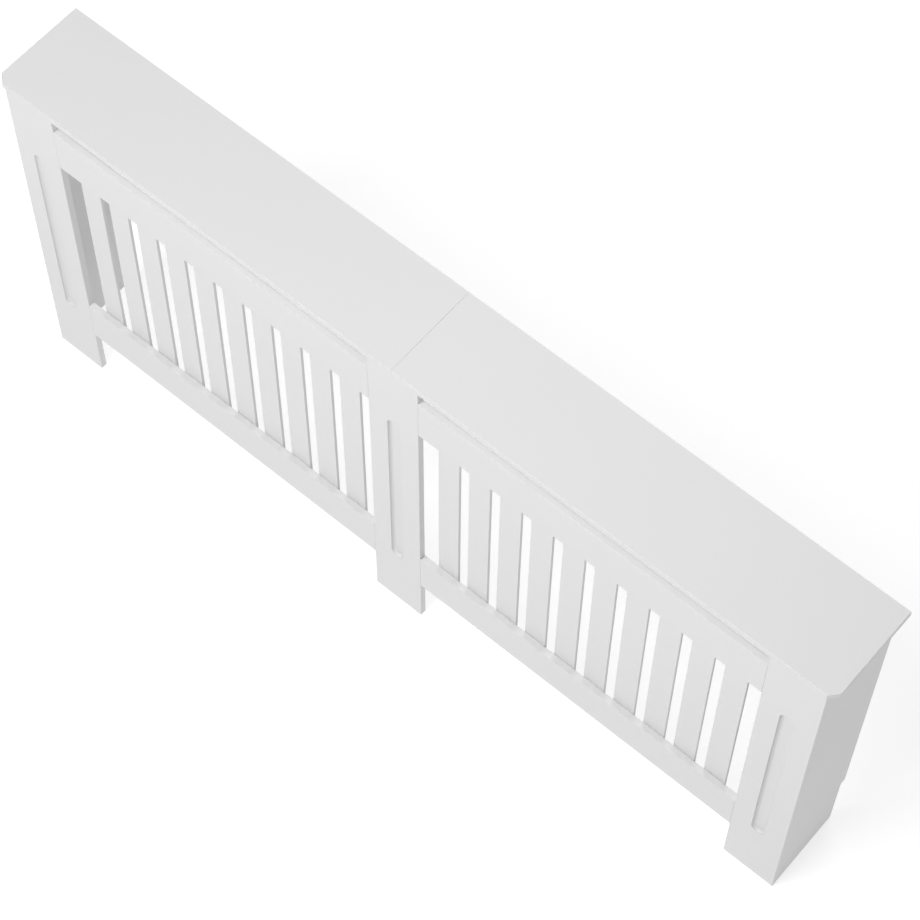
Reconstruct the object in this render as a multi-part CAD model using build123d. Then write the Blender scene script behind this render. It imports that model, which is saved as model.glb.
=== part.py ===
from build123d import *
import os

# Radiator cover cabinet, in millimetres.
# Origin: floor level, centre of the length and of the depth.
# X runs along the length, +Z is up, and the slatted front faces -Y. The back is open.

# ---- overall ----
CABINET_LENGTH = 1720.0
CABINET_DEPTH = 190.0
CABINET_HEIGHT = 815.0

# ---- top boards ----
TOP_THICKNESS = 12.0
TOP_FRONT_OVERHANG = 4.0
TOP_SIDE_OVERHANG = 15.0
TOP_BACK_OVERHANG = 7.0
TOP_CORNER_CLIP = 15.0
TOP_EDGE_ROUND = 1.5
SEAM_EDGE_EASE = 0.8

# ---- front frame: posts and rails are cut from one board ----
FRONT_THICKNESS = 12.5
POST_WIDTH = 105.0
RAIL_HEIGHT = 100.0
GAP_UNDER_BOTTOM_RAIL = 122.0
GAP_OVER_TOP_RAIL = 38.0
EDGE_EASE = 0.8

# ---- flute routed in each post ----
FLUTE_WIDTH = 27.0
FLUTE_DEPTH = 6.0
FLUTE_COVE = 6.0
FLUTE_FOOT_MARGIN = 168.0
FLUTE_HEAD_MARGIN = 157.0

# ---- slats, fixed behind the rails ----
SLATS_PER_BAY = 10
SLAT_WIDTH = 44.0
SLAT_THICKNESS = 6.0
SLAT_END_GAP = 31.5
SLAT_LAP = 70.0

# ---- end panels ----
SIDE_THICKNESS = 12.0
SKIRTING_NOTCH_HEIGHT = 150.0
SKIRTING_NOTCH_DEPTH = 11.5

# ---- batten under the seam of the top ----
BATTEN_LENGTH = 150.0
BATTEN_THICKNESS = 12.0
BATTEN_REAR_INSET = 31.0
BATTEN_SCREW_INSET = 35.0

# ---- dowels in the rail ends ----
DOWEL_DIAMETER = 6.0
DOWEL_LENGTH = 30.0
DOWEL_INSET = 25.0
DOWEL_CLEARANCE = 0.1

# ---- steel angles ----
STEEL_THICKNESS = 2.0
STEEL_BEND_RADIUS = 2.0
STEEL_CORNER_CLIP = 3.0
ANGLE_LEG = 25.0
ANGLE_WIDTH = 16.0
ANGLE_HOLE_OFFSET = 15.0
CORNER_ANGLE_INSET = 120.0

# ---- wall angles ----
WALL_ANGLE_LEG = 30.0
WALL_ANGLE_WIDTH = 20.0
WALL_ANGLE_DROP = 55.0
WALL_ANGLE_SCREW_OFFSET = 20.0
WALL_HOLE_OFFSET = 18.0
WALL_HOLE_DIAMETER = 5.0

# ---- screws ----
SCREW_DIAMETER = 3.5
SCREW_HEAD_DIAMETER = 7.0
SCREW_HEAD_HEIGHT = 2.0
SCREW_SKIN = 4.0
SCREW_HOLE_CLEARANCE = 0.1
STEEL_HOLE_CLEARANCE = 0.2
HOLE_END_CLEARANCE = 0.5
CUT_OVERRUN = 1.0

# ---- places worked out from the sizes ----
FRONT_FACE = TOP_FRONT_OVERHANG - CABINET_DEPTH / 2
FRAME_BACK = FRONT_FACE + FRONT_THICKNESS
FRAME_MIDDLE = (FRONT_FACE + FRAME_BACK) / 2
WALL_PLANE = CABINET_DEPTH / 2
REAR_EDGE = WALL_PLANE - TOP_BACK_OVERHANG
TOP_UNDERSIDE = CABINET_HEIGHT - TOP_THICKNESS
BATTEN_UNDERSIDE = TOP_UNDERSIDE - BATTEN_THICKNESS
END_FACE = CABINET_LENGTH / 2 - TOP_SIDE_OVERHANG
SIDE_INNER_FACE = END_FACE - SIDE_THICKNESS
BAY_START = POST_WIDTH / 2
BAY_END = END_FACE - POST_WIDTH
BOTTOM_RAIL_FOOT = GAP_UNDER_BOTTOM_RAIL
TOP_RAIL_FOOT = TOP_UNDERSIDE - GAP_OVER_TOP_RAIL - RAIL_HEIGHT
SLAT_FOOT = BOTTOM_RAIL_FOOT + RAIL_HEIGHT - SLAT_LAP
SLAT_HEAD = TOP_RAIL_FOOT + SLAT_LAP
SLAT_PITCH = (BAY_END - BAY_START - 2 * SLAT_END_GAP - SLAT_WIDTH) / (SLATS_PER_BAY - 1)

LEFT, RIGHT = -1, 1
SIDES = ((LEFT, "left"), (RIGHT, "right"))
RAILS = (("bottom", BOTTOM_RAIL_FOOT), ("top", TOP_RAIL_FOOT))
POSTS = (("left", -(END_FACE - POST_WIDTH / 2)), ("middle", 0.0), ("right", END_FACE - POST_WIDTH / 2))

# The ways that a leg, a hole or a screw can run.
WAYS = {
    "+x": Vector(1, 0, 0), "-x": Vector(-1, 0, 0),
    "+y": Vector(0, 1, 0), "-y": Vector(0, -1, 0),
    "+z": Vector(0, 0, 1), "-z": Vector(0, 0, -1),
}

# How thick each board is that a screw can bite in.
BOARD_THICKNESS = {
    "top_board": TOP_THICKNESS,
    "post": FRONT_THICKNESS,
    "side_panel": SIDE_THICKNESS,
    "seam_batten": BATTEN_THICKNESS,
}


# ---- helpers ----
def board_between(x0, x1, y0, y1, z0, z1):
    """A plain board between two opposite corners."""
    centre = ((x0 + x1) / 2, (y0 + y1) / 2, (z0 + z1) / 2)
    return Pos(*centre) * Box(abs(x1 - x0), abs(y1 - y0), abs(z1 - z0))


def drill(mouth, way, diameter, depth):
    """The body of a hole that starts at its mouth and runs one way."""
    entry = Plane(origin=mouth, z_dir=WAYS[way])
    return entry * Cylinder(diameter / 2, depth, align=(Align.CENTER, Align.CENTER, Align.MIN))


def grip_in(board):
    """How deep a screw bites in a board: to within a skin of its far face."""
    kind = next(name for name in BOARD_THICKNESS if board.startswith(name))
    return BOARD_THICKNESS[kind] - SCREW_SKIN


def pilot_hole(mouth, way, board):
    """The blind hole for a screw's shank in a board."""
    diameter = SCREW_DIAMETER + 2 * SCREW_HOLE_CLEARANCE
    return drill(mouth, way, diameter, grip_in(board) + HOLE_END_CLEARANCE)


def screw(seat, way, length):
    """A cylinder-head screw whose head sits at its seat and whose shank runs one way."""
    head, shank = SCREW_HEAD_DIAMETER / 2, SCREW_DIAMETER / 2
    half_section = Polyline(
        (0, -SCREW_HEAD_HEIGHT),
        (head, -SCREW_HEAD_HEIGHT),
        (head, 0),
        (shank, 0),
        (shank, length),
        (0, length),
        close=True,
    )
    turned = revolve(Plane.XZ * make_face(half_section), Axis.Z)
    return Plane(origin=seat, z_dir=WAYS[way]) * turned


def cut_out(board, holes):
    """A board with a list of holes taken out of it."""
    for hole in holes:
        board = board - hole
    return board


# ---- top ----
def top_board(side):
    """Half of the top, with its upper edge rounded at the front, the clip and the end."""
    end, front = side * CABINET_LENGTH / 2, -CABINET_DEPTH / 2
    outline = Polyline(
        (0, WALL_PLANE),
        (0, front),
        (end - side * TOP_CORNER_CLIP, front),
        (end, front + TOP_CORNER_CLIP),
        (end, WALL_PLANE),
        close=True,
    )
    blank = extrude(make_face(outline), TOP_THICKNESS, dir=(0, 0, 1))
    board = Pos(0, 0, TOP_UNDERSIDE) * blank
    upper_rim = board.edges().group_by(Axis.Z)[-1]
    open_rim = [e for e in upper_rim if e.center().Y < WALL_PLANE and abs(e.center().X) > SEAM_EDGE_EASE]
    board = fillet(open_rim, TOP_EDGE_ROUND)
    seam = board.edges().filter_by(Axis.Y).group_by(Axis.Z)[-1].sort_by(lambda e: abs(e.center().X))[0]
    return chamfer(seam, SEAM_EDGE_EASE)


# ---- front frame ----
def flute(centre):
    """What a round-cornered cutter takes out of a post: a flat trough with coved sides and ends."""
    foot, head = FLUTE_FOOT_MARGIN, TOP_UNDERSIDE - FLUTE_HEAD_MARGIN
    floor = Plane(origin=(centre, FRONT_FACE + FLUTE_DEPTH, (foot + head) / 2),
                  x_dir=WAYS["+z"], z_dir=WAYS["-y"])
    trough = extrude(floor * SlotOverall(head - foot, FLUTE_WIDTH), FLUTE_DEPTH + CUT_OVERRUN)
    floor_rim = trough.faces().sort_by(Axis.Y)[-1].edges()
    return fillet(floor_rim, min(FLUTE_COVE, FLUTE_DEPTH))


def post(centre):
    """A front post from the floor to the top, with eased front edges and its flute."""
    half = POST_WIDTH / 2
    board = board_between(centre - half, centre + half, FRONT_FACE, FRAME_BACK, 0, TOP_UNDERSIDE)
    front_edges = board.edges().filter_by(Axis.Z).group_by(Axis.Y)[0]
    return chamfer(front_edges, EDGE_EASE) - flute(centre)


def rail(side, foot):
    """A rail that fills one bay between two posts, flush with their fronts."""
    board = board_between(side * BAY_START, side * BAY_END, FRONT_FACE, FRAME_BACK,
                          foot, foot + RAIL_HEIGHT)
    return chamfer(board.edges().filter_by(Axis.X), EDGE_EASE)


def slat(side, step):
    """An upright slat lapped behind both rails, so many steps out from the middle post."""
    inner = BAY_START + SLAT_END_GAP + step * SLAT_PITCH
    board = board_between(side * inner, side * (inner + SLAT_WIDTH),
                          FRAME_BACK, FRAME_BACK + SLAT_THICKNESS, SLAT_FOOT, SLAT_HEAD)
    return chamfer(board.edges().filter_by(Axis.Z), EDGE_EASE)


# ---- end panels ----
def side_panel(side):
    """An end panel behind an outer post, cut back at its foot to clear a skirting board."""
    inner, outer = side * SIDE_INNER_FACE, side * END_FACE
    board = board_between(inner, outer, FRAME_BACK, REAR_EDGE, 0, TOP_UNDERSIDE)
    uprights = board.edges().filter_by(Axis.Z).sort_by(lambda e: abs(e.center().X))
    board = chamfer(uprights[-2:], EDGE_EASE)
    past = side * CUT_OVERRUN
    notch = board_between(inner - past, outer + past, REAR_EDGE - SKIRTING_NOTCH_DEPTH,
                          REAR_EDGE + CUT_OVERRUN, -CUT_OVERRUN, SKIRTING_NOTCH_HEIGHT)
    return board - notch


# ---- dowels ----
def dowel_joints(side, foot, end):
    """Where the dowels of one rail end cross the joint with a post."""
    heights = (foot + DOWEL_INSET, foot + RAIL_HEIGHT - DOWEL_INSET)
    return [Plane(origin=(side * end, FRAME_MIDDLE, z), z_dir=(1, 0, 0)) for z in heights]


def dowel(joint):
    """A wooden dowel, half in the post and half in the rail."""
    return joint * Cylinder(DOWEL_DIAMETER / 2, DOWEL_LENGTH)


def dowel_hole(joint):
    """The hole for one dowel, into both boards at their joint."""
    bore = DOWEL_DIAMETER / 2 + DOWEL_CLEARANCE
    return joint * Cylinder(bore, DOWEL_LENGTH + 2 * HOLE_END_CLEARANCE)


# ---- steel angles ----
def steel_angle(corner, way_a, way_b, leg, width):
    """A bent steel angle: its outside corner at a point, its legs running two ways."""
    section = Polyline(
        (0, 0),
        (leg, 0),
        (leg, STEEL_THICKNESS),
        (STEEL_THICKNESS, STEEL_THICKNESS),
        (STEEL_THICKNESS, leg),
        (0, leg),
        close=True,
    )
    bar = extrude(make_face(section), width / 2, both=True)
    bend = bar.edges().filter_by(Axis.Z).sort_by(lambda e: e.center().X + e.center().Y)[0]
    bar = fillet(bend, STEEL_BEND_RADIUS)
    tip_a = bar.faces().sort_by(Axis.X)[-1].edges().filter_by(Axis.Y)
    tip_b = bar.faces().sort_by(Axis.Y)[-1].edges().filter_by(Axis.X)
    bar = chamfer(tip_a + tip_b, STEEL_CORNER_CLIP)
    across = WAYS[way_a].cross(WAYS[way_b])
    return Plane(origin=corner, x_dir=WAYS[way_a], z_dir=across) * bar


def leg_screw(corner, along, way, board, offset):
    """One screw of an angle, the hole in its steel, and the pilot hole in the board."""
    face = Vector(*corner) + WAYS[along] * offset
    seat = face - WAYS[way] * STEEL_THICKNESS
    steel_hole = drill(seat - WAYS[way] * CUT_OVERRUN, way, SCREW_DIAMETER + 2 * STEEL_HOLE_CLEARANCE,
                       STEEL_THICKNESS + 2 * CUT_OVERRUN)
    fastener = screw(seat, way, STEEL_THICKNESS + grip_in(board))
    return fastener, steel_hole, pilot_hole(face, way, board)


def plain_angles(side, name):
    """The angles of one end: each has its name, its corner and its two legs.

    A leg is the way that it runs, the way that its screw is driven, and the board it is on.
    """
    inner = side * SIDE_INNER_FACE
    inward, outward = ("-x", "+x") if side == RIGHT else ("+x", "-x")
    on_panel = ("+y", outward, f"side_panel_{name}")
    levels = (("lower", CORNER_ANGLE_INSET), ("upper", TOP_UNDERSIDE - CORNER_ANGLE_INSET))
    angles = [
        (f"corner_angle_{level}_{name}", (inner, FRAME_BACK, z),
         ((inward, "-y", f"post_{name}"), on_panel))
        for level, z in levels
    ]
    panel_middle = (FRAME_BACK + REAR_EDGE) / 2
    angles.append((f"top_angle_{name}", (inner, panel_middle, TOP_UNDERSIDE),
                   ((inward, "+z", f"top_board_{name}"), ("-z", outward, f"side_panel_{name}"))))
    return angles


MIDDLE_ANGLE = ("post_angle_middle", (0, FRAME_BACK, BATTEN_UNDERSIDE),
                (("+y", "+z", "seam_batten"), ("-z", "-y", "post_middle")))


def fit_angle(angle, pieces, holes):
    """Add one plain angle to the pieces and its pilot holes to the boards; give its screws."""
    node, corner, legs = angle
    steel = steel_angle(corner, legs[0][0], legs[1][0], ANGLE_LEG, ANGLE_WIDTH)
    screws = []
    for along, way, board in legs:
        fastener, steel_hole, pilot = leg_screw(corner, along, way, board, ANGLE_HOLE_OFFSET)
        screws.append(fastener)
        steel = steel - steel_hole
        holes[board].append(pilot)
    pieces[node] = steel
    return screws


def fit_wall_angle(side, name, pieces, holes):
    """Add a wall angle: one leg on the end panel, the other flat on the wall; give its screw."""
    corner = (side * SIDE_INNER_FACE, WALL_PLANE, TOP_UNDERSIDE - WALL_ANGLE_DROP)
    inward, outward = ("-x", "+x") if side == RIGHT else ("+x", "-x")
    panel = f"side_panel_{name}"
    steel = steel_angle(corner, inward, "-y", WALL_ANGLE_LEG, WALL_ANGLE_WIDTH)
    fastener, steel_hole, pilot = leg_screw(corner, "-y", outward, panel, WALL_ANGLE_SCREW_OFFSET)
    on_wall = Vector(*corner) + WAYS[inward] * WALL_HOLE_OFFSET + WAYS["+y"] * CUT_OVERRUN
    wall_hole = drill(on_wall, "-y", WALL_HOLE_DIAMETER, STEEL_THICKNESS + 2 * CUT_OVERRUN)
    pieces[f"wall_angle_{name}"] = steel - steel_hole - wall_hole
    holes[panel].append(pilot)
    return fastener


# ---- batten under the seam ----
def fit_seam_batten(pieces, holes):
    """Add the batten that joins the two top boards from below, with its screws."""
    rear = WALL_PLANE - BATTEN_REAR_INSET
    half = BATTEN_LENGTH / 2
    batten = board_between(-half, half, FRAME_BACK, rear, BATTEN_UNDERSIDE, TOP_UNDERSIDE)
    screws = fit_angle(MIDDLE_ANGLE, pieces, holes)
    shank_hole = SCREW_DIAMETER + 2 * SCREW_HOLE_CLEARANCE
    for side, name in SIDES:
        top = f"top_board_{name}"
        for y in (FRAME_BACK + BATTEN_SCREW_INSET, rear - BATTEN_SCREW_INSET):
            seat = Vector(side * (half - BATTEN_SCREW_INSET), y, BATTEN_UNDERSIDE)
            mouth = seat + WAYS["+z"] * BATTEN_THICKNESS
            screws.append(screw(seat, "+z", BATTEN_THICKNESS + grip_in(top)))
            batten = batten - drill(seat + WAYS["-z"] * CUT_OVERRUN, "+z", shank_hole,
                                    BATTEN_THICKNESS + 2 * CUT_OVERRUN)
            holes[top].append(pilot_hole(mouth, "+z", top))
    pieces["seam_batten"] = cut_out(batten, holes["seam_batten"])
    pieces["seam_batten_screws"] = Compound(screws)


# ---- the cabinet ----
def build_cabinet():
    """Every piece of the cabinet, by its node's name."""
    pieces = {}
    boards = ["seam_batten", "post_middle"]
    for side, name in SIDES:
        boards += [f"top_board_{name}", f"post_{name}", f"side_panel_{name}"]
    holes = {board: [] for board in boards}

    fit_seam_batten(pieces, holes)
    for side, name in SIDES:
        for level, foot in RAILS:
            at_middle = dowel_joints(side, foot, BAY_START)
            at_end = dowel_joints(side, foot, BAY_END)
            holes["post_middle"] += [dowel_hole(joint) for joint in at_middle]
            holes[f"post_{name}"] += [dowel_hole(joint) for joint in at_end]
            joints = at_middle + at_end
            pieces[f"{level}_rail_{name}"] = cut_out(rail(side, foot), map(dowel_hole, joints))
            pieces[f"{level}_rail_dowels_{name}"] = Compound([dowel(joint) for joint in joints])
        for step in range(SLATS_PER_BAY):
            # Both bays are numbered from the left.
            number = step + 1 if side == RIGHT else SLATS_PER_BAY - step
            pieces[f"slat_{name}_{number:02d}"] = slat(side, step)
        screws = [fit_wall_angle(side, name, pieces, holes)]
        for angle in plain_angles(side, name):
            screws += fit_angle(angle, pieces, holes)
        pieces[f"angle_screws_{name}"] = Compound(screws)
        pieces[f"side_panel_{name}"] = cut_out(side_panel(side), holes[f"side_panel_{name}"])
        pieces[f"top_board_{name}"] = cut_out(top_board(side), holes[f"top_board_{name}"])
    for name, centre in POSTS:
        pieces[f"post_{name}"] = cut_out(post(centre), holes[f"post_{name}"])
    return pieces


os.makedirs("parts", exist_ok=True)
for node, shape in build_cabinet().items():
    export_step(shape, f"parts/{node}.step")
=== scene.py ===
"""A radiator cover cabinet: boards, fittings and finishes, made piece by piece over its frame."""

import math

import bmesh
import bpy
from bpy.props import FloatProperty, FloatVectorProperty, PointerProperty
from mathutils import Matrix, Vector


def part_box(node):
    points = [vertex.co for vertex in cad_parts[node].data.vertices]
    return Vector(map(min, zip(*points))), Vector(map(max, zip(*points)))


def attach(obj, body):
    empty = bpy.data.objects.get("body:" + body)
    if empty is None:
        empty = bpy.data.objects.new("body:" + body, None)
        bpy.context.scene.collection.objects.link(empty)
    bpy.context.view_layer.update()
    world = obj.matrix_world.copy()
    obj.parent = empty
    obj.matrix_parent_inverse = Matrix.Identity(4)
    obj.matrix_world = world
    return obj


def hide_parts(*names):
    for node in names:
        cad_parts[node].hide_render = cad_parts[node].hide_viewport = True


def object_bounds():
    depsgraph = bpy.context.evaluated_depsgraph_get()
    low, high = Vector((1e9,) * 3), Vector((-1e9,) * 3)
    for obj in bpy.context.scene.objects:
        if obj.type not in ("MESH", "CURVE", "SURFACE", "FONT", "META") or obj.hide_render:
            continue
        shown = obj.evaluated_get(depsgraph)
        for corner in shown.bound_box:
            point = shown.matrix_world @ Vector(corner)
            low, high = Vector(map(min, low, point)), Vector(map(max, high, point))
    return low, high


bl_info = {
    "name": "Radiator cover cabinet",
    "version": (1, 0, 0),
    "blender": (4, 5, 0),
    "location": "3D View > Sidebar > Cabinet",
    "description": "Makes a slatted radiator cover cabinet from its boards and fittings",
    "category": "Object",
}

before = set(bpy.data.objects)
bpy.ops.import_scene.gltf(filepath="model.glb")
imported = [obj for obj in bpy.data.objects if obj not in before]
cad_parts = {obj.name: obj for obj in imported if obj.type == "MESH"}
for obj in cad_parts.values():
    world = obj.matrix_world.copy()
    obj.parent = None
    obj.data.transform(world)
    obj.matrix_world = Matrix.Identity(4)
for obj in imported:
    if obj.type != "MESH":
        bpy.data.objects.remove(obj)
CAD_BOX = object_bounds()

MM = 0.001
HAIR = 0.01 * MM            # places that lie closer than this count as one
SQUARE = math.radians(60)   # an edge that turns more than this hasn't been rounded yet
SMOOTH = math.radians(35)   # an edge that turns less than this is shaded smooth
DRIVEN = math.radians(37)   # how much further each screw is turned than the one before it
OVERRUN = 1 * MM            # how far a cutter starts outside the face that it cuts
DOWEL_FLUTES = 12
X, Y, Z = range(3)
SIDES = ("left", "right")
INWARD = {"left": "+x", "right": "-x"}
RAILS = ("bottom", "top")
WAYS = {
    "+x": Vector((1, 0, 0)), "-x": Vector((-1, 0, 0)),
    "+y": Vector((0, 1, 0)), "-y": Vector((0, -1, 0)),
    "+z": Vector((0, 0, 1)), "-z": Vector((0, 0, -1)),
}
MIRROR = Matrix.Scale(-1, 4, WAYS["+x"])


# ---- what a user can change ----
def length(name, description, default):
    """A length in metres for a property group."""
    return FloatProperty(name=name, description=description, default=default, min=0.0,
                         unit="LENGTH", precision=5)


def share(name, description, default):
    """A number from nought to one for a property group."""
    return FloatProperty(name=name, description=description, default=default, min=0.0, max=1.0,
                         subtype="FACTOR")


def colour(name, description, default):
    """A colour for a property group."""
    return FloatVectorProperty(name=name, description=description, default=default, size=3,
                               min=0.0, max=1.0, subtype="COLOR")


def strength(name, description, default):
    """How brightly something shines by itself, for a property group."""
    return FloatProperty(name=name, description=description, default=default, min=0.0)


def power(name, description, default):
    """The power of a light in watts, for a property group."""
    return FloatProperty(name=name, description=description, default=default, min=0.0, unit="POWER")


def spot(name, description, default):
    """A place in the studio, for a property group."""
    return FloatVectorProperty(name=name, description=description, default=default,
                               subtype="TRANSLATION", unit="LENGTH")


class CabinetSizes(bpy.types.PropertyGroup):
    """What the boards are cut and routed to, and how the steel is bent"""

    corner_clip: length("Corner clip", "How far each front corner of the top is cut back", 15 * MM)
    top_round: length("Top round", "Round on the top's upper edge at its front and ends", 1.5 * MM)
    seam_ease: length("Seam ease", "Round on the top edge where the two boards meet", 0.8 * MM)
    seam_gap: length("Seam gap", "Hairline that is left between the two top boards", 0.06 * MM)
    edge_round: length("Edge round", "Round on the long edges of posts, rails and slats", 0.8 * MM)
    arris: length("Arris", "Round that the paint leaves on every other square edge", 0.25 * MM)
    flute_width: length("Flute width", "Width of the flute in a post", 27 * MM)
    flute_depth: length("Flute depth", "Depth of the flute", 6 * MM)
    flute_cove: length("Flute cove", "Hollow radius between a flute's side and its floor", 5.9 * MM)
    flute_foot: length("Flute foot", "From the foot of a post to its flute", 168 * MM)
    flute_head: length("Flute head", "From the head of a post to its flute", 157 * MM)
    flute_rim: length("Flute rim", "Round on the rim of the flute", 0.5 * MM)
    notch_height: length("Notch height", "Height of the cut for a skirting board", 150 * MM)
    notch_depth: length("Notch depth", "Depth of the cut for a skirting board", 11.5 * MM)
    steel: length("Steel thickness", "Thickness of the steel angles", 2 * MM)
    bend: length("Bend radius", "Outside radius of the bend in a steel angle", 2.4 * MM)
    steel_clip: length("Steel clip", "How far the corners of a steel leg are cut off", 3 * MM)
    steel_arris: length("Steel arris", "Round on the edges of the steel", 0.2 * MM)
    leg_hole: length("Leg hole", "Diameter of the screw hole in a steel leg", 3.9 * MM)
    leg_hole_offset: length("Leg hole offset", "From the bend to a small angle's hole", 15 * MM)
    panel_hole_offset: length("Panel hole offset", "From the wall to a wall angle's panel hole",
                              20 * MM)
    wall_hole: length("Wall hole", "Diameter of the hole for the wall screw", 5 * MM)
    wall_hole_offset: length("Wall hole offset", "From the panel to the wall hole", 18 * MM)
    recess_width: length("Recess width", "Width of one arm of the cross in a screw head", 0.9 * MM)
    recess_span: length("Recess span", "From tip to tip of the cross in a screw head", 4 * MM)
    recess_depth: length("Recess depth", "Depth of the cross in a screw head", 1.3 * MM)
    pin_head: length("Pin head", "Diameter of the head of a slat pin", 1.8 * MM)
    pin_cap: length("Pin cap", "Height of the head of a slat pin", 0.4 * MM)
    pin_round: length("Pin round", "Round on the head of a slat pin", 0.15 * MM)
    pin_proud: length("Pin proud", "How far a pin's head stands off its slat", 0.1 * MM)
    pin_shank: length("Pin shank", "Diameter of the shank of a slat pin", 1.1 * MM)
    pin_length: length("Pin length", "Length of a slat pin", 14 * MM)
    pin_point: length("Pin point", "Length of the point of a slat pin", 1.5 * MM)
    pin_inset: length("Pin inset", "From a slat's end or a rail's edge to the nearest pin", 18 * MM)
    pin_offset: length("Pin offset", "From a slat's centre line to a pin", 9 * MM)


class CabinetFinishes(bpy.types.PropertyGroup):
    """The colours and the gloss of the cabinet's materials"""

    paint: colour("Paint", "White satin lacquer on every board", (0.65, 0.65, 0.65))
    paint_roughness: share("Paint roughness", "Roughness of the lacquer", 0.42)
    zinc: colour("Zinc", "Plated steel of the angles", (0.60, 0.62, 0.64))
    zinc_roughness: share("Zinc roughness", "Roughness of the plated steel", 0.36)
    screw: colour("Screw", "Bright plated screws and pins", (0.68, 0.69, 0.70))
    beech: colour("Beech", "Pale wood of the dowels", (0.60, 0.42, 0.26))
    beech_grain: colour("Beech grain", "Darker flecks in the dowels", (0.36, 0.22, 0.12))


class CabinetStudio(bpy.types.PropertyGroup):
    """The floor, the lights and the camera"""

    floor_size: length("Floor size", "Side of the square floor", 60.0)
    floor: colour("Floor", "Colour of the floor", (0.4, 0.4, 0.4))
    floor_glow: strength("Floor glow", "How brightly the floor is lit from below", 0.72)
    sky: strength("Sky", "Strength of the even white light from above", 0.10)
    horizon: strength("Horizon", "Strength of the white backdrop all round, low down", 0.88)
    horizon_top: share("Horizon top", "How steeply up the backdrop starts to dim", 0.10)
    sky_foot: share("Sky foot", "How steeply up only the sky is left", 0.22)
    light_size: length("Light size", "Side of each square light", 2.5)
    key_power: power("Key power", "Power of the light high in front", 224.0)
    key_place: spot("Key place", "Where the light high in front hangs", (-0.6, -2.6, 4.8))
    fill_power: power("Fill power", "Power of the light at the right", 14.0)
    fill_place: spot("Fill place", "Where the light at the right hangs", (3.2, -1.8, 3.6))
    back_power: power("Back power", "Power of the light behind", 68.0)
    back_place: spot("Back place", "Where the light behind hangs", (-0.6, 2.5, 4.5))
    camera_place: spot("Camera place", "Where the camera stands", (1.5016, -1.7301, 4.6077))
    camera_turn: FloatVectorProperty(name="Camera turn", description="How the camera is turned",
                                     default=[math.radians(a) for a in (28.5289, -0.3093, 40.2925)],
                                     subtype="EULER", unit="ROTATION")
    camera_lens: FloatProperty(name="Camera lens", description="Focal length of the camera",
                               default=110.745, min=1.0, unit="CAMERA")


# ---- hand tools ----
def only(piece):
    """Selects one object and makes it the active one."""
    bpy.ops.object.select_all(action="DESELECT")
    piece.select_set(True)
    bpy.context.view_layer.objects.active = piece


def pick(piece, kind, wanted):
    """Opens a piece in edit mode with the vertices, edges or faces that pass a test selected."""
    only(piece)
    bpy.ops.object.mode_set(mode="EDIT")
    bpy.ops.mesh.select_mode(type=kind)
    bpy.ops.mesh.select_all(action="DESELECT")
    mesh = bmesh.from_edit_mesh(piece.data)
    parts = {"VERT": mesh.verts, "EDGE": mesh.edges, "FACE": mesh.faces}[kind]
    chosen = [part for part in parts if wanted(part)]
    if not chosen:
        raise RuntimeError(f"{piece.name}: nothing passes the test")
    for part in chosen:
        part.select_set(True)
    mesh.select_flush_mode()
    bmesh.update_edit_mesh(piece.data)


def close_edit():
    """Goes back to object mode."""
    bpy.ops.object.mode_set(mode="OBJECT")


def near(a, b):
    """Whether two lengths are the same to a hair."""
    return abs(a - b) < HAIR


def middle_of(part):
    """The middle of an edge or a face."""
    return sum((vert.co for vert in part.verts), Vector()) / len(part.verts)


def runs_along(edge, axis):
    """Whether an edge runs along X, Y or Z."""
    along = edge.verts[1].co - edge.verts[0].co
    return abs(along[axis]) > 0.999 * along.length


def is_square(edge):
    """Whether an edge is a square corner."""
    return edge.calc_face_angle(0.0) > SQUARE


def looks(face, way):
    """Whether a face looks one of the six ways."""
    return face.normal.dot(WAYS[way]) > 0.9


def settle(piece):
    """Puts a piece's place, turn and scale into its mesh."""
    only(piece)
    bpy.ops.object.transform_apply(location=True, rotation=True, scale=True)
    return piece


def start_block(name, low, high):
    """A block that fills the space between two corners, to be shaped from there."""
    bpy.ops.object.select_all(action="DESELECT")
    bpy.ops.mesh.primitive_cube_add(size=1.0, location=(low + high) / 2, scale=high - low)
    bpy.context.active_object.name = name
    return settle(bpy.context.active_object)


def start_rod(name, radius, start, way, run, sides):
    """A round rod that starts at a point and runs one way, to be shaped from there."""
    turn = way.to_track_quat("Z", "Y").to_euler()
    bpy.ops.object.select_all(action="DESELECT")
    bpy.ops.mesh.primitive_cylinder_add(vertices=sides, radius=radius, depth=run,
                                        location=start + way * run / 2, rotation=turn)
    bpy.context.active_object.name = name
    return settle(bpy.context.active_object)


def bevel_edges(piece, wanted, offset, segments=3):
    """Rounds the edges that pass a test, or cuts them off flat if there is one segment."""
    pick(piece, "EDGE", wanted)
    bpy.ops.mesh.bevel(offset_type="OFFSET", offset=offset, segments=segments, profile=0.5,
                       affect="EDGES")
    close_edit()


def break_edges(piece, offset):
    """Takes the sharpness off every square edge that is left on a piece."""
    bevel_edges(piece, is_square, offset, segments=2)


def pull_out(move):
    """Extrudes what is selected in edit mode by a move."""
    bpy.ops.mesh.extrude_region_move(TRANSFORM_OT_translate={"value": move})


def extrude_faces(piece, wanted, move):
    """Pulls the faces that pass a test straight out."""
    pick(piece, "FACE", wanted)
    pull_out(move)
    close_edit()


def narrow(*factors):
    """Scales what is selected in edit mode towards the origin, along X, Y and Z."""
    bpy.ops.transform.resize(value=factors, center_override=(0, 0, 0))


def carve(piece, cutter):
    """Takes the shape of a cutter out of a piece, and throws the cutter away."""
    only(piece)
    cut = piece.modifiers.new("cut", "BOOLEAN")
    cut.operation = "DIFFERENCE"
    cut.solver = "EXACT"
    cut.object = cutter
    bpy.ops.object.modifier_apply(modifier=cut.name)
    bpy.data.objects.remove(cutter)


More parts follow.
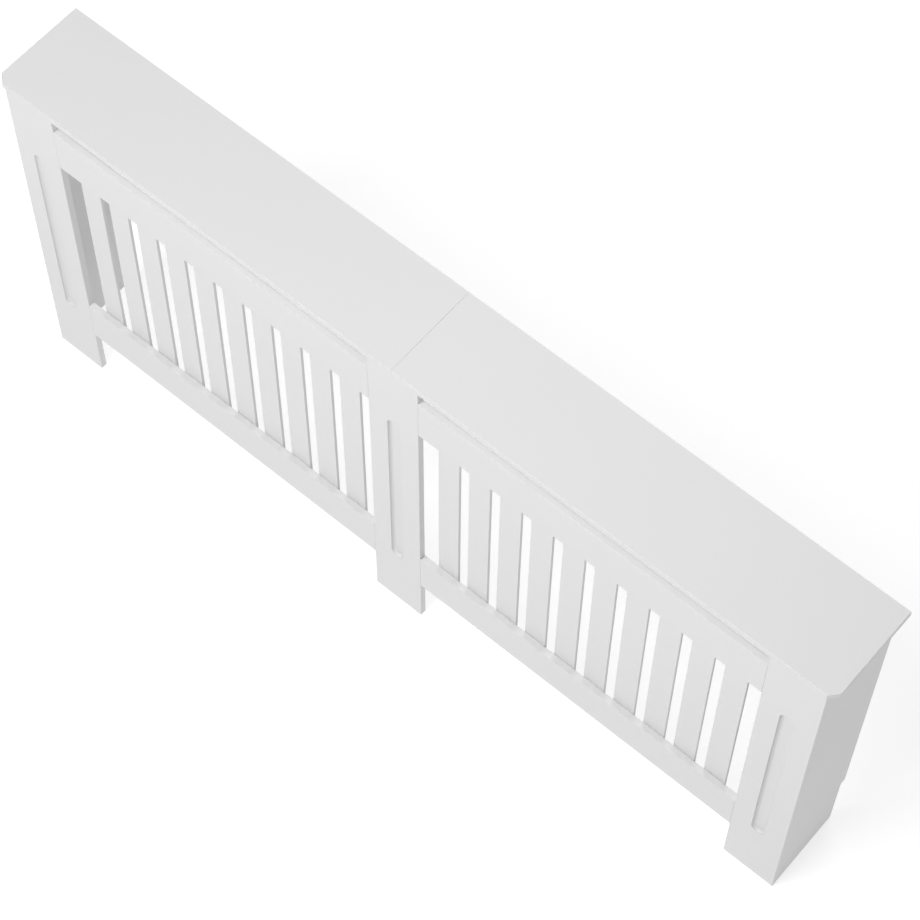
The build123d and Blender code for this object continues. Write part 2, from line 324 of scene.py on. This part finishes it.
def copy_piece(piece, name, place):
    """A copy of a piece with its own mesh, moved, turned or mirrored by a matrix."""
    only(piece)
    bpy.ops.object.duplicate(linked=False)
    twin = bpy.context.active_object
    twin.name = name
    twin.matrix_world = place
    settle(twin)
    if place.determinant() < 0:
        pick(twin, "FACE", lambda face: True)
        bpy.ops.mesh.normals_make_consistent(inside=False)
        close_edit()
    return twin


def copy_to_box(piece, pattern, node, name):
    """A copy of what was made for one CAD node, moved to the place of another."""
    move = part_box(node)[0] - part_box(pattern)[0]
    return copy_piece(piece, name, Matrix.Translation(move))


def join_as(pieces, name):
    """Joins pieces into one object."""
    bpy.ops.object.select_all(action="DESELECT")
    for piece in pieces:
        piece.select_set(True)
    bpy.context.view_layer.objects.active = pieces[0]
    bpy.ops.object.join()
    pieces[0].name = name
    return pieces[0]


def put_in_place(piece, slot, *nodes):
    """Smooths the shading of a finished piece, paints it and puts it in its nodes' place."""
    only(piece)
    bpy.ops.object.shade_smooth_by_angle(angle=SMOOTH)
    weigh = piece.modifiers.new("weigh", "WEIGHTED_NORMAL")
    weigh.keep_sharp = True
    bpy.ops.object.modifier_apply(modifier=weigh.name)
    piece.data.materials.clear()
    piece.data.materials.append(finish_of(slot))
    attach(piece, "root")
    if nodes:
        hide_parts(*nodes)


def solids_of(node):
    """The corner points of each separate solid in a CAD node."""
    mesh = bmesh.new()
    mesh.from_mesh(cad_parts[node].data)
    bmesh.ops.remove_doubles(mesh, verts=mesh.verts, dist=HAIR)
    solids = []
    seen = set()
    for first in mesh.verts:
        if first in seen:
            continue
        seen.add(first)
        reached = [first]
        for vert in reached:
            others = [edge.other_vert(vert) for edge in vert.link_edges]
            fresh = [other for other in others if other not in seen]
            seen.update(fresh)
            reached.extend(fresh)
        solids.append([vert.co.copy() for vert in reached])
    mesh.free()
    return solids


def box_of(points):
    """The lowest and the highest corner of some points."""
    return Vector(map(min, zip(*points))), Vector(map(max, zip(*points)))


# ---- finishes ----
class Wire:
    """One output of a finish's nodes. A sum or a product on it adds a Math node."""

    def __init__(self, finish, socket):
        self.finish = finish
        self.socket = socket

    def reckon(self, operation, *terms):
        """Adds a Math node on some wires and numbers."""
        return self.finish.node("ShaderNodeMath", {"operation": operation}, dict(enumerate(terms)))

    def __add__(self, other):
        return self.reckon("ADD", self, other)

    def __radd__(self, other):
        return self.reckon("ADD", other, self)

    def __sub__(self, other):
        return self.reckon("SUBTRACT", self, other)

    def __rsub__(self, other):
        return self.reckon("SUBTRACT", other, self)

    def __mul__(self, other):
        return self.reckon("MULTIPLY", self, other)

    def __rmul__(self, other):
        return self.reckon("MULTIPLY", other, self)


class Finish:
    """A material, or the studio's room, put together in words: each of its nodes is one call."""

    def __init__(self, name, owner=None):
        self.owner = owner or bpy.data.materials.new(name)
        self.owner.use_nodes = True
        self.tree = self.owner.node_tree
        self.tree.nodes.clear()

    def node(self, kind, settings, sockets, output=0):
        """Adds a node, sets it up, fills or links its sockets, and gives one of its outputs."""
        made = self.tree.nodes.new(kind)
        for key, value in settings.items():
            setattr(made, key, value)
        for key, value in sockets.items():
            if isinstance(value, Wire):
                self.tree.links.new(value.socket, made.inputs[key])
            else:
                made.inputs[key].default_value = value
        return Wire(self, made.outputs[output]) if made.outputs else None

    def place(self):
        """Where a point lies on the object, in metres."""
        return self.node("ShaderNodeTexCoord", {}, {}, "Object")

    def stretch(self, place, factors):
        """A place whose pattern is drawn out along an axis."""
        return self.node("ShaderNodeMapping", {}, {"Vector": place, "Scale": factors})

    def noise(self, place, scale, detail):
        """Soft random patches, so many to the metre."""
        sockets = {"Vector": place, "Scale": scale, "Detail": detail}
        return self.node("ShaderNodeTexNoise", {}, sockets)

    def mix(self, factor, first, second):
        """A blend of two colours: sockets 6 and 7 and output 2 are a Mix node's colour ones."""
        return self.node("ShaderNodeMix", {"data_type": "RGBA"},
                         {0: factor, 6: first, 7: second}, output=2)

    def bump(self, height, distance):
        """A surface that is raised by a height, so far at its highest."""
        return self.node("ShaderNodeBump", {}, {"Height": height, "Distance": distance})

    def surface(self, **sockets):
        """Ends the material in one shader, and gives it."""
        sockets = {key.replace("_", " "): value for key, value in sockets.items()}
        shader = self.node("ShaderNodeBsdfPrincipled", {}, sockets)
        self.node("ShaderNodeOutputMaterial", {}, {"Surface": shader})
        return self.owner


def shaded(tint, factor):
    """A colour made darker or lighter, as a shader takes it."""
    return (*(channel * factor for channel in tint), 1.0)


def white_satin_lacquer(finishes):
    """Sprayed satin lacquer: faint clouds, dimples like orange peel, and drier routed edges."""
    finish = Finish("white_satin_lacquer")
    place = finish.place()
    clouds = finish.noise(place, scale=4.0, detail=3.0)
    flecks = finish.noise(place, scale=150.0, detail=2.0)
    dimples = finish.noise(place, scale=380.0, detail=1.0)
    grit = finish.noise(place, scale=1400.0, detail=1.0)
    normal = finish.node("ShaderNodeNewGeometry", {}, {}, "Normal")
    folded = finish.node("ShaderNodeVectorMath", {"operation": "ABSOLUTE"}, {0: normal})
    parts = [finish.node("ShaderNodeSeparateXYZ", {}, {0: folded}, axis) for axis in (X, Y, Z)]
    flat = parts[X].reckon("MAXIMUM", parts[X], parts[Y])
    flat = flat.reckon("MAXIMUM", flat, parts[Z])
    routed = (1.0 - flat) * 3.4  # nought on a square face, and one on a face at 45 degrees
    tone = clouds * 0.6 + flecks * 0.4
    tint = finish.mix(tone, shaded(finishes.paint, 0.975), shaded(finishes.paint, 1.02))
    tint = finish.mix(routed * 0.5, tint, shaded(finishes.paint, 0.97))
    roughness = finishes.paint_roughness + (flecks - 0.5) * 0.10 + routed * 0.08
    return finish.surface(
        Base_Color=tint,
        Roughness=roughness,
        Normal=finish.bump(dimples * 0.8 + grit * 0.2, distance=0.03 * MM),
    )


def zinc_plated_steel(finishes):
    """Rolled and plated steel: fine lines along the roll, and a dull cloud here and there."""
    finish = Finish("zinc_plated_steel")
    place = finish.place()
    lines = finish.noise(finish.stretch(place, (60.0, 60.0, 1400.0)), scale=1.0, detail=3.0)
    clouds = finish.noise(place, scale=160.0, detail=3.0)
    tint = finish.mix(clouds, shaded(finishes.zinc, 0.80), shaded(finishes.zinc, 1.12))
    return finish.surface(
        Base_Color=tint,
        Metallic=1.0,
        Roughness=finishes.zinc_roughness + (clouds - 0.5) * 0.30,
        Normal=finish.bump(lines, distance=0.01 * MM),
    )


def bright_zinc(finishes):
    """Bright plating on screws and pins, dulled a little in patches."""
    finish = Finish("bright_zinc")
    patches = finish.noise(finish.place(), scale=700.0, detail=2.0)
    tint = finish.mix(patches, shaded(finishes.screw, 0.72), shaded(finishes.screw, 1.15))
    return finish.surface(
        Base_Color=tint,
        Metallic=1.0,
        Roughness=0.22 + patches * 0.2,
        Normal=finish.bump(patches, distance=0.02 * MM),
    )


def beech_dowel(finishes):
    """Beech that runs along X, with its short dark flecks."""
    finish = Finish("beech_dowel")
    place = finish.place()
    grain = finish.noise(finish.stretch(place, (60.0, 900.0, 900.0)), scale=1.0, detail=4.0)
    flecks = finish.noise(finish.stretch(place, (500.0, 2600.0, 2600.0)), scale=1.0, detail=1.0)
    dark = (flecks * 1.4 - 0.55) * 0.5 + grain * 0.35
    tint = finish.mix(dark, (*finishes.beech, 1.0), (*finishes.beech_grain, 1.0))
    return finish.surface(
        Base_Color=tint,
        Roughness=0.62 + grain * 0.15,
        Normal=finish.bump(grain, distance=0.05 * MM),
    )


FINISHES = {
    "white_mdf": white_satin_lacquer,
    "zinc_steel": zinc_plated_steel,
    "zinc_screw": bright_zinc,
    "beech": beech_dowel,
}


def finish_of(slot):
    """The finish that goes with a slot, made once and then used again."""
    make = FINISHES[slot]
    return bpy.data.materials.get(make.__name__) or make(bpy.context.scene.cabinet_finishes)


# ---- boards ----
def round_board(board, long_edge, sizes):
    """Rounds the long edges of a board, and then breaks every square edge that is left."""
    bevel_edges(board, long_edge, sizes.edge_round)
    break_edges(board, sizes.arris)


class CABINET_OT_top_boards(bpy.types.Operator):
    """Make the two top boards, with clipped front corners and a rounded upper edge"""

    bl_idname = "cabinet.top_boards"
    bl_label = "Top boards"

    def execute(self, context):
        sizes = context.scene.cabinet_sizes
        low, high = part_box("top_board_right")
        low.x += sizes.seam_gap / 2
        board = start_block("top_board_right_finished", low, high)

        def at_front_corner(edge):
            middle = middle_of(edge)
            return runs_along(edge, Z) and near(middle.x, high.x) and near(middle.y, low.y)

        def on_open_rim(edge):
            middle = middle_of(edge)
            off_seam_and_wall = middle.x > low.x + HAIR and middle.y < high.y - HAIR
            return near(middle.z, high.z) and is_square(edge) and off_seam_and_wall

        def on_seam(edge):
            middle = middle_of(edge)
            return runs_along(edge, Y) and near(middle.x, low.x) and near(middle.z, high.z)

        bevel_edges(board, at_front_corner, sizes.corner_clip, segments=1)
        bevel_edges(board, on_open_rim, sizes.top_round, segments=4)
        bevel_edges(board, on_seam, sizes.seam_ease)
        break_edges(board, sizes.arris)
        twin = copy_piece(board, "top_board_left_finished", MIRROR)
        put_in_place(board, "white_mdf", "top_board_right")
        put_in_place(twin, "white_mdf", "top_board_left")
        return {"FINISHED"}


def flute_cutter(sizes, centre, front, foot, head):
    """What a round-cornered cutter takes out of a post: a flat trough with coved sides and ends."""
    radius = sizes.flute_width / 2
    mouth = Vector((centre, front - OVERRUN, foot + radius))
    floor = front + sizes.flute_depth
    cutter = start_rod("flute_cutter", radius, mouth, WAYS["+y"], floor - mouth.y, sides=64)
    bevel_edges(cutter, lambda edge: near(middle_of(edge).y, floor) and is_square(edge),
                sizes.flute_cove, segments=10)
    extrude_faces(cutter, lambda face: middle_of(face).z > mouth.z + HAIR,
                  (0, 0, head - foot - 2 * radius))
    return cutter


class CABINET_OT_posts(bpy.types.Operator):
    """Make the three front posts, each with a routed flute"""

    bl_idname = "cabinet.posts"
    bl_label = "Posts"

    def execute(self, context):
        sizes = context.scene.cabinet_sizes
        low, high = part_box("post_middle")
        centre = (low.x + high.x) / 2
        foot, head = low.z + sizes.flute_foot, high.z - sizes.flute_head
        post = start_block("post_middle_finished", low, high)

        def front_upright(edge):
            return runs_along(edge, Z) and near(middle_of(edge).y, low.y)

        def on_flute_rim(edge):
            middle = middle_of(edge)
            in_width = abs(middle.x - centre) < sizes.flute_width / 2 + HAIR
            in_height = foot - HAIR < middle.z < head + HAIR
            on_front = near(middle.y, low.y) and edge.calc_face_angle(0.0) > SMOOTH
            return in_width and in_height and on_front

        bevel_edges(post, front_upright, sizes.edge_round)
        carve(post, flute_cutter(sizes, centre, low.y, foot, head))
        bevel_edges(post, on_flute_rim, sizes.flute_rim)
        break_edges(post, sizes.arris)
        outer = [(copy_to_box(post, "post_middle", f"post_{side}", f"post_{side}_finished"), side)
                 for side in SIDES]
        for piece, side in [(post, "middle"), *outer]:
            put_in_place(piece, "white_mdf", f"post_{side}")
        return {"FINISHED"}


class CABINET_OT_rails(bpy.types.Operator):
    """Make the four rails that fill the bays between the posts"""

    bl_idname = "cabinet.rails"
    bl_label = "Rails"

    def execute(self, context):
        sizes = context.scene.cabinet_sizes
        low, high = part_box("bottom_rail_left")
        pattern = start_block("rail_pattern", low, high)

        def long_or_front(edge):
            return runs_along(edge, X) or near(middle_of(edge).y, low.y)

        round_board(pattern, long_or_front, sizes)
        for node in (f"{level}_rail_{side}" for level in RAILS for side in SIDES):
            rail = copy_to_box(pattern, "bottom_rail_left", node, f"{node}_finished")
            put_in_place(rail, "white_mdf", node)
        bpy.data.objects.remove(pattern)
        return {"FINISHED"}


def slat_nodes(side):
    """The CAD nodes of the slats in one bay, from the left."""
    return sorted(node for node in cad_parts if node.startswith(f"slat_{side}_"))


class CABINET_OT_slats(bpy.types.Operator):
    """Make the upright slats behind the rails"""

    bl_idname = "cabinet.slats"
    bl_label = "Slats"

    def execute(self, context):
        sizes = context.scene.cabinet_sizes
        first = slat_nodes("left")[0]
        pattern = start_block("slat_pattern", *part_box(first))
        round_board(pattern, lambda edge: runs_along(edge, Z), sizes)
        for node in (node for side in SIDES for node in slat_nodes(side)):
            slat = copy_to_box(pattern, first, node, f"{node}_finished")
            put_in_place(slat, "white_mdf", node)
        bpy.data.objects.remove(pattern)
        return {"FINISHED"}


class CABINET_OT_side_panels(bpy.types.Operator):
    """Make the two end panels, cut back at the rear foot for a skirting board"""

    bl_idname = "cabinet.side_panels"
    bl_label = "End panels"

    def execute(self, context):
        sizes = context.scene.cabinet_sizes
        low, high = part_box("side_panel_right")
        step = low.z + sizes.notch_height
        panel = start_block("side_panel_right_finished", low,
                            Vector((high.x, high.y - sizes.notch_depth, step)))

        def on_step(face):
            return near(middle_of(face).z, step) and looks(face, "+z")

        def above_step(face):
            return middle_of(face).z > step and looks(face, "+y")

        def outer_upright(edge):
            return runs_along(edge, Z) and near(middle_of(edge).x, high.x) and is_square(edge)

        extrude_faces(panel, on_step, (0, 0, high.z - step))
        extrude_faces(panel, above_step, (0, sizes.notch_depth, 0))
        pick(panel, "FACE", lambda face: True)
        bpy.ops.mesh.dissolve_limited(angle_limit=math.radians(1))
        close_edit()
        round_board(panel, outer_upright, sizes)
        twin = copy_piece(panel, "side_panel_left_finished", MIRROR)
        put_in_place(panel, "white_mdf", "side_panel_right")
        put_in_place(twin, "white_mdf", "side_panel_left")
        return {"FINISHED"}


class CABINET_OT_seam_batten(bpy.types.Operator):
    """Make the batten that joins the two top boards from below"""

    bl_idname = "cabinet.seam_batten"
    bl_label = "Seam batten"

    def execute(self, context):
        sizes = context.scene.cabinet_sizes
        low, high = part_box("seam_batten")
        batten = start_block("seam_batten_finished", low, high)

        def on_underside(edge):
            return not runs_along(edge, Z) and near(middle_of(edge).z, low.z)

        round_board(batten, on_underside, sizes)
        put_in_place(batten, "white_mdf", "seam_batten")
        return {"FINISHED"}


# ---- fittings ----
def angle_pattern(sizes, leg, width, holes):
    """A steel angle with its outside corner at the origin and its legs along X and Y.

    A hole is the leg that it is in, how far it lies from the corner, and its diameter.
    """
    steel, bend, half = sizes.steel, sizes.bend, width / 2
    angle = start_block("angle_pattern", Vector((bend, 0, -half)), Vector((leg, steel, half)))
    pick(angle, "FACE", lambda face: looks(face, "-x"))
    bpy.ops.mesh.spin(steps=6, angle=math.pi / 2, center=(bend, bend, 0), axis=(0, 0, 1))
    close_edit()
    extrude_faces(angle, lambda face: looks(face, "+y") and near(middle_of(face).y, bend),
                  (0, leg - bend, 0))

    def at_tip(edge):
        middle = middle_of(edge)
        on_x_leg = near(middle.x, leg) and runs_along(edge, Y)
        on_y_leg = near(middle.y, leg) and runs_along(edge, X)
        return (on_x_leg or on_y_leg) and near(abs(middle.z), half)

    bevel_edges(angle, at_tip, sizes.steel_clip, segments=1)
    for on_leg, offset, diameter in holes:
        along, into = (WAYS["+x"], WAYS["+y"]) if on_leg == X else (WAYS["+y"], WAYS["+x"])
        start = along * offset - into * steel
        carve(angle, start_rod("drill", diameter / 2, start, into, 3 * steel, sides=48))
    break_edges(angle, sizes.steel_arris)
    return angle


def axis_of(leg):
    """The axis of a leg that runs one of the six ways."""
    return "xyz".index(leg[1])


def corner_of(node, legs):
    """Where an angle's outside corner is: its box's start along each leg, and its middle across."""
    low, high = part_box(node)
    corner = (low + high) / 2
    for leg in legs:
        axis = axis_of(leg)
        corner[axis] = low[axis] if leg[0] == "+" else high[axis]
    return corner


def stand_at(corner, legs):
    """The matrix that takes an angle pattern to its corner, with its legs along two ways."""
    along, up = (WAYS[leg] for leg in legs)
    turn = Matrix((along, up, along.cross(up))).transposed()
    return Matrix.Translation(corner) @ turn.to_4x4()


def bend_angles(sizes, legs_of, holes):
    """Makes the angles of one kind, from the two ways that the legs of each node run."""
    first, legs = next(iter(legs_of.items()))
    low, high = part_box(first)
    along, up = (axis_of(leg) for leg in legs)
    across = X + Y + Z - along - up
    pattern = angle_pattern(sizes, (high - low)[along], (high - low)[across], holes)
    for node, legs in legs_of.items():
        angle = copy_piece(pattern, f"{node}_finished", stand_at(corner_of(node, legs), legs))
        put_in_place(angle, "zinc_steel", node)
    bpy.data.objects.remove(pattern)


class CABINET_OT_steel_angles(bpy.types.Operator):
    """Make the small steel angles that hold the boards together"""

    bl_idname = "cabinet.steel_angles"
    bl_label = "Steel angles"

    def execute(self, context):
        sizes = context.scene.cabinet_sizes
        legs_of = {"post_angle_middle": ("+y", "-z")}
        for side, inward in INWARD.items():
            legs_of[f"corner_angle_lower_{side}"] = (inward, "+y")
            legs_of[f"corner_angle_upper_{side}"] = (inward, "+y")
            legs_of[f"top_angle_{side}"] = (inward, "-z")
        holes = [(axis, sizes.leg_hole_offset, sizes.leg_hole) for axis in (X, Y)]
        bend_angles(sizes, legs_of, holes)
        return {"FINISHED"}


class CABINET_OT_wall_angles(bpy.types.Operator):
    """Make the two steel angles that fix the cabinet to the wall"""

    bl_idname = "cabinet.wall_angles"
    bl_label = "Wall angles"

    def execute(self, context):
        sizes = context.scene.cabinet_sizes
        legs_of = {f"wall_angle_{side}": (inward, "-y") for side, inward in INWARD.items()}
        holes = [(X, sizes.wall_hole_offset, sizes.wall_hole),
                 (Y, sizes.panel_hole_offset, sizes.leg_hole)]
        bend_angles(sizes, legs_of, holes)
        return {"FINISHED"}


def screw_facts(points):
    """Where a screw's head seats, the way it runs, and its head's and its shank's sizes."""
    low, high = box_of(points)
    span = high - low
    axis = max(range(3), key=lambda i: span[i])
    middle = (low + high) / 2

    def off_axis(point):
        across = point - middle
        across[axis] = 0
        return across.length

    head_radius = max(map(off_axis, points))
    rim = [point[axis] for point in points if off_axis(point) > 0.9 * head_radius]
    body = [off_axis(point) for point in points if off_axis(point) > HAIR]
    forwards = sum(rim) / len(rim) < middle[axis]
    seat = middle.copy()
    seat[axis] = max(rim) if forwards else min(rim)
    way = Vector((0, 0, 0))
    way[axis] = 1 if forwards else -1
    head_height = max(rim) - min(rim)
    return seat, way, head_radius, head_height, min(body), span[axis] - head_height


def screw_pattern(sizes, head_radius, head_height, shank_radius, shank):
    """A pan-head screw that seats at the origin and runs up Z, with a cross in its head."""
    crown, point, blunt = 0.55 * head_height, 1.6 * shank_radius, 0.15
    screw = start_rod("screw_pattern", head_radius, Vector((0, 0, -head_height)), WAYS["+z"],
                      head_height, sides=32)
    bevel_edges(screw, lambda edge: near(middle_of(edge).z, -head_height) and is_square(edge),
                crown, segments=5)
    pick(screw, "FACE", lambda face: near(middle_of(face).z, 0.0))
    bpy.ops.mesh.inset(thickness=head_radius - shank_radius)
    pull_out((0, 0, shank - point))
    pull_out((0, 0, point))
    narrow(blunt, blunt, 1)
    close_edit()
    for turn in (0, math.pi / 2):
        carve(screw, recess_cutter(sizes, head_height, turn))
    return screw


def recess_cutter(sizes, head_height, turn):
    """One arm of the cross in a screw head, shorter and narrower at its foot."""
    half_span, half_width = sizes.recess_span / 2, sizes.recess_width / 2
    shorter, thinner = 0.45, 0.7
    top, foot = -head_height - OVERRUN, -head_height + sizes.recess_depth
    low, high = Vector((-half_span, -half_width, top)), Vector((half_span, half_width, foot))
    arm = start_block("recess", low, high)
    pick(arm, "FACE", lambda face: looks(face, "+z"))
    narrow(shorter, thinner, 1)
    close_edit()
    arm.matrix_world = Matrix.Rotation(turn, 4, "Z")
    return settle(arm)


class CABINET_OT_screws(bpy.types.Operator):
    """Make the screws of the angles and of the batten"""

    bl_idname = "cabinet.screws"
    bl_label = "Screws"

    def execute(self, context):
        sizes = context.scene.cabinet_sizes
        patterns = {}
        for node in ("angle_screws_left", "angle_screws_right", "seam_batten_screws"):
            screws = []
            for number, points in enumerate(solids_of(node)):
                seat, way, *shape = screw_facts(points)
                key = tuple(round(value / MM, 1) for value in shape)
                if key not in patterns:
                    patterns[key] = screw_pattern(sizes, *shape)
                turn = way.to_track_quat("Z", "Y").to_matrix().to_4x4()
                drive = Matrix.Rotation(number * DRIVEN, 4, "Z")
                place = Matrix.Translation(seat) @ turn @ drive
                screws.append(copy_piece(patterns[key], "screw", place))
            put_in_place(join_as(screws, f"{node}_finished"), "zinc_screw", node)
        for pattern in patterns.values():
            bpy.data.objects.remove(pattern)
        return {"FINISHED"}


def pin_pattern(sizes):
    """A slat pin driven in along -Y, whose head stands a little proud of the origin."""
    blunt = 0.2
    pin = start_rod("pin_pattern", sizes.pin_head / 2, WAYS["+y"] * sizes.pin_proud, WAYS["-y"],
                    sizes.pin_cap, sides=12)
    pick(pin, "FACE", lambda face: looks(face, "-y"))
    bpy.ops.mesh.inset(thickness=(sizes.pin_head - sizes.pin_shank) / 2)
    pull_out((0, sizes.pin_cap + sizes.pin_point - sizes.pin_length, 0))
    pull_out((0, -sizes.pin_point, 0))
    narrow(blunt, 1, blunt)
    close_edit()
    bevel_edges(pin, lambda edge: is_square(edge) and middle_of(edge).y > 0, sizes.pin_round,
                segments=2)
    return pin


def pin_places(sizes, side):
    """Where the pins of a bay go: a slanting pair through each slat into either rail."""
    rail_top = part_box(f"bottom_rail_{side}")[1].z
    rail_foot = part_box(f"top_rail_{side}")[0].z
    places = []
    for node in slat_nodes(side):
        low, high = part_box(node)
        for foot, head in ((low.z, rail_top), (rail_foot, high.z)):
            for hand, height in ((-1, foot + sizes.pin_inset), (1, head - sizes.pin_inset)):
                across = (low.x + high.x) / 2 + hand * sizes.pin_offset
                places.append(Vector((across, high.y, height)))
    return places


class CABINET_OT_slat_pins(bpy.types.Operator):
    """Make the pins that hold the slats to the rails from behind"""

    bl_idname = "cabinet.slat_pins"
    bl_label = "Slat pins"

    def execute(self, context):
        sizes = context.scene.cabinet_sizes
        pattern = pin_pattern(sizes)
        for side in SIDES:
            pins = [copy_piece(pattern, "pin", Matrix.Translation(place))
                    for place in pin_places(sizes, side)]
            put_in_place(join_as(pins, f"slat_pins_{side}"), "zinc_screw")
        bpy.data.objects.remove(pattern)
        return {"FINISHED"}


def dowel_pattern(radius, span):
    """A dowel along X with its middle at the origin, chamfered ends and pressed flutes."""
    chamfer, pressed, pitch = 0.2 * radius, 0.9, 360 / DOWEL_FLUTES
    dowel = start_rod("dowel_pattern", radius, WAYS["-x"] * span / 2, WAYS["+x"], span,
                      sides=4 * DOWEL_FLUTES)
    bevel_edges(dowel, is_square, chamfer, segments=1)

    def in_flute(vert):
        turn = math.degrees(math.atan2(vert.co.z, vert.co.y)) % pitch
        return abs(vert.co.x) < (span - chamfer) / 2 and abs(turn - pitch / 2) < 1

    pick(dowel, "VERT", in_flute)
    narrow(1, pressed, pressed)
    close_edit()
    return dowel


class CABINET_OT_dowels(bpy.types.Operator):
    """Make the fluted wooden dowels in the rail ends"""

    bl_idname = "cabinet.dowels"
    bl_label = "Dowels"

    def execute(self, context):
        nodes = [f"{level}_rail_dowels_{side}" for level in RAILS for side in SIDES]
        low, high = box_of(solids_of(nodes[0])[0])
        pattern = dowel_pattern((high.z - low.z) / 2, high.x - low.x)
        for node in nodes:
            dowels = []
            for points in solids_of(node):
                low, high = box_of(points)
                dowels.append(copy_piece(pattern, "dowel", Matrix.Translation((low + high) / 2)))
            put_in_place(join_as(dowels, f"{node}_finished"), "beech", node)
        bpy.data.objects.remove(pattern)
        return {"FINISHED"}


# ---- stage ----
def white_studio(studio):
    """A white room far away: bright low down all round, and dimmer towards its ceiling."""
    room = Finish("white_studio", bpy.data.worlds.new("white_studio"))
    way = room.node("ShaderNodeTexCoord", {}, {}, "Generated")
    height = room.node("ShaderNodeSeparateXYZ", {}, {0: way}, Z)
    steepness = height.reckon("ABSOLUTE", height)
    glow = room.node("ShaderNodeMapRange", {"interpolation_type": "SMOOTHSTEP"}, {
        "Value": steepness,
        "From Min": studio.horizon_top,
        "From Max": studio.sky_foot,
        "To Min": studio.horizon,
        "To Max": studio.sky,
    })
    light = room.node("ShaderNodeBackground", {}, {"Color": (1.0, 1.0, 1.0, 1.0), "Strength": glow})
    room.node("ShaderNodeOutputWorld", {}, {"Surface": light})
    return room.owner


def hang_light(name, place, side, watts):
    """Hangs a soft square light that faces the middle of the cabinet."""
    bpy.ops.object.light_add(type="AREA", location=place)
    light = bpy.context.active_object
    light.name = name
    light.data.shape = "SQUARE"
    light.data.size = side
    light.data.energy = watts
    middle = (CAD_BOX[0] + CAD_BOX[1]) / 2
    light.rotation_euler = (middle - light.location).to_track_quat("-Z", "Y").to_euler()


def lay_floor(studio):
    """Lays a matt floor that glows enough to come out white."""
    bpy.ops.object.select_all(action="DESELECT")
    bpy.ops.mesh.primitive_plane_add(size=studio.floor_size)
    floor = bpy.context.active_object
    floor.name = "pale_floor"
    finish = Finish("pale_floor")
    floor.data.materials.append(finish.surface(
        Base_Color=(*studio.floor, 1.0),
        Roughness=0.9,
        Emission_Color=(1.0, 1.0, 1.0, 1.0),
        Emission_Strength=studio.floor_glow,
    ))


def set_up_camera(studio):
    """Stands the camera where it sees the cabinet as the photograph does."""
    bpy.ops.object.camera_add(location=studio.camera_place, rotation=studio.camera_turn)
    camera = bpy.context.active_object
    camera.name = "camera"
    camera.data.lens = studio.camera_lens
    bpy.context.scene.camera = camera
    bpy.context.scene.view_settings.view_transform = "Standard"


class CABINET_OT_stage(bpy.types.Operator):
    """Lay the pale floor, hang the soft light and set up the camera"""

    bl_idname = "cabinet.stage"
    bl_label = "Stage"

    def execute(self, context):
        studio = context.scene.cabinet_studio
        lay_floor(studio)
        context.scene.world = white_studio(studio)
        hang_light("key_light", studio.key_place, studio.light_size, studio.key_power)
        hang_light("fill_light", studio.fill_place, studio.light_size, studio.fill_power)
        hang_light("back_light", studio.back_place, studio.light_size, studio.back_power)
        set_up_camera(studio)
        return {"FINISHED"}


STEPS = (
    CABINET_OT_top_boards,
    CABINET_OT_posts,
    CABINET_OT_rails,
    CABINET_OT_slats,
    CABINET_OT_side_panels,
    CABINET_OT_seam_batten,
    CABINET_OT_steel_angles,
    CABINET_OT_wall_angles,
    CABINET_OT_screws,
    CABINET_OT_slat_pins,
    CABINET_OT_dowels,
    CABINET_OT_stage,
)


class CABINET_PT_sidebar(bpy.types.Panel):
    """The steps that make the cabinet, in order"""

    bl_idname = "CABINET_PT_sidebar"
    bl_label = "Radiator cover cabinet"
    bl_space_type = "VIEW_3D"
    bl_region_type = "UI"
    bl_category = "Cabinet"

    def draw(self, context):
        """Lists one button for each step."""
        for step in STEPS:
            self.layout.operator(step.bl_idname)


GROUPS = {
    "cabinet_sizes": CabinetSizes,
    "cabinet_finishes": CabinetFinishes,
    "cabinet_studio": CabinetStudio,
}
CLASSES = (*GROUPS.values(), *STEPS, CABINET_PT_sidebar)


def register():
    """Makes the classes and the properties known to Blender."""
    for made in CLASSES:
        bpy.utils.register_class(made)
    for name, group in GROUPS.items():
        setattr(bpy.types.Scene, name, PointerProperty(type=group))


def unregister():
    """Takes the properties and the classes away again."""
    for name in GROUPS:
        delattr(bpy.types.Scene, name)
    for made in reversed(CLASSES):
        bpy.utils.unregister_class(made)


def main():
    """Registers the add-on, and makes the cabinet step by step."""
    register()
    for step in STEPS:
        area, name = step.bl_idname.split(".")
        getattr(getattr(bpy.ops, area), name)()


if __name__ == "__main__":
    main()
